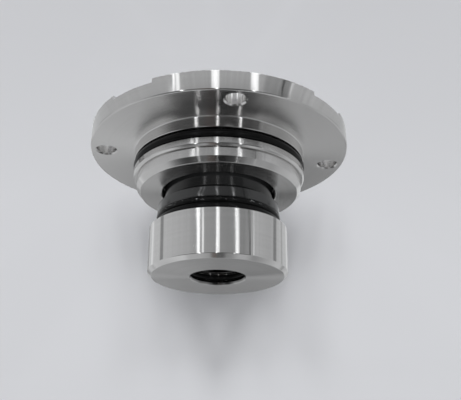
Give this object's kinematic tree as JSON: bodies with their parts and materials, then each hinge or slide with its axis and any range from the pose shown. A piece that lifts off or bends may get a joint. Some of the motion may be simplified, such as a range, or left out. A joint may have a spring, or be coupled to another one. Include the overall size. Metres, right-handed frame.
{
  "type": "cartridge mechanical seal",
  "caption": "Cartridge shaft seal: flanged steel gland with O-ring spigot, paired silicon carbide rings, and a polished rotor head and sleeve bored for the shaft.",
  "frame": {"origin": "on the shaft axis, in the face of the flange that is bolted against the pump", "axes": "+Z along the shaft axis towards the nose of the rotor; bolt holes lie on X and Y"},
  "size_m": [0.15, 0.15, 0.1048],
  "materials": {
    "gland_steel": "fine turned, polished stainless steel",
    "rotor_steel": "bright polished stainless steel",
    "collar_steel": "turned stainless steel",
    "plain_steel": "ground stainless steel",
    "spring_steel": "drawn spring wire and strip",
    "screw_steel": "satin socket screws",
    "stationary_face": "lapped dark silicon carbide",
    "rotating_face": "lapped and polished dark silicon carbide",
    "carbon": "machined carbon graphite",
    "o_ring_rubber": "moulded black rubber, lightly greased",
    "gasket_rubber": "moulded black rubber, lightly greased"
  },
  "bodies": {
    "gland": {"gland_plate": "gland_steel", "gland_o_ring": "o_ring_rubber", "stationary_o_ring": "o_ring_rubber", "throttle_bush": "carbon", "anti_rotation_pin_1": "plain_steel", "anti_rotation_pin_2": "plain_steel", "spring_1": "spring_steel", "spring_2": "spring_steel", "spring_3": "spring_steel", "spring_4": "spring_steel", "spring_5": "spring_steel", "spring_6": "spring_steel"},
    "seal_face": {"stationary_ring": "stationary_face", "spring_thrust_ring": "plain_steel"},
    "rotor": {"rotor_sleeve": "rotor_steel", "rotating_ring": "rotating_face", "rotating_ring_gasket": "gasket_rubber", "shaft_o_ring": "o_ring_rubber", "ring_drive_pin_1": "plain_steel", "ring_drive_pin_2": "plain_steel", "drive_collar": "collar_steel", "snap_ring": "spring_steel", "set_screw_1": "screw_steel", "set_screw_2": "screw_steel", "set_screw_3": "screw_steel", "set_screw_4": "screw_steel"}
  },
  "joints": [
    {"name": "rotor_spin", "type": "hinge", "parent": "gland", "child": "rotor", "pos_m": [0, 0, 0], "axis": [0, 0, 1], "continuous": true},
    {"name": "face_float", "type": "slide", "parent": "gland", "child": "seal_face", "axis": [0, 0, -1], "range_m": [0, 0.0024], "stiffness_N_per_m": 6000, "springref_m": -0.0025, "deforming": ["spring_1", "spring_2", "spring_3", "spring_4", "spring_5", "spring_6"]}
  ]
}
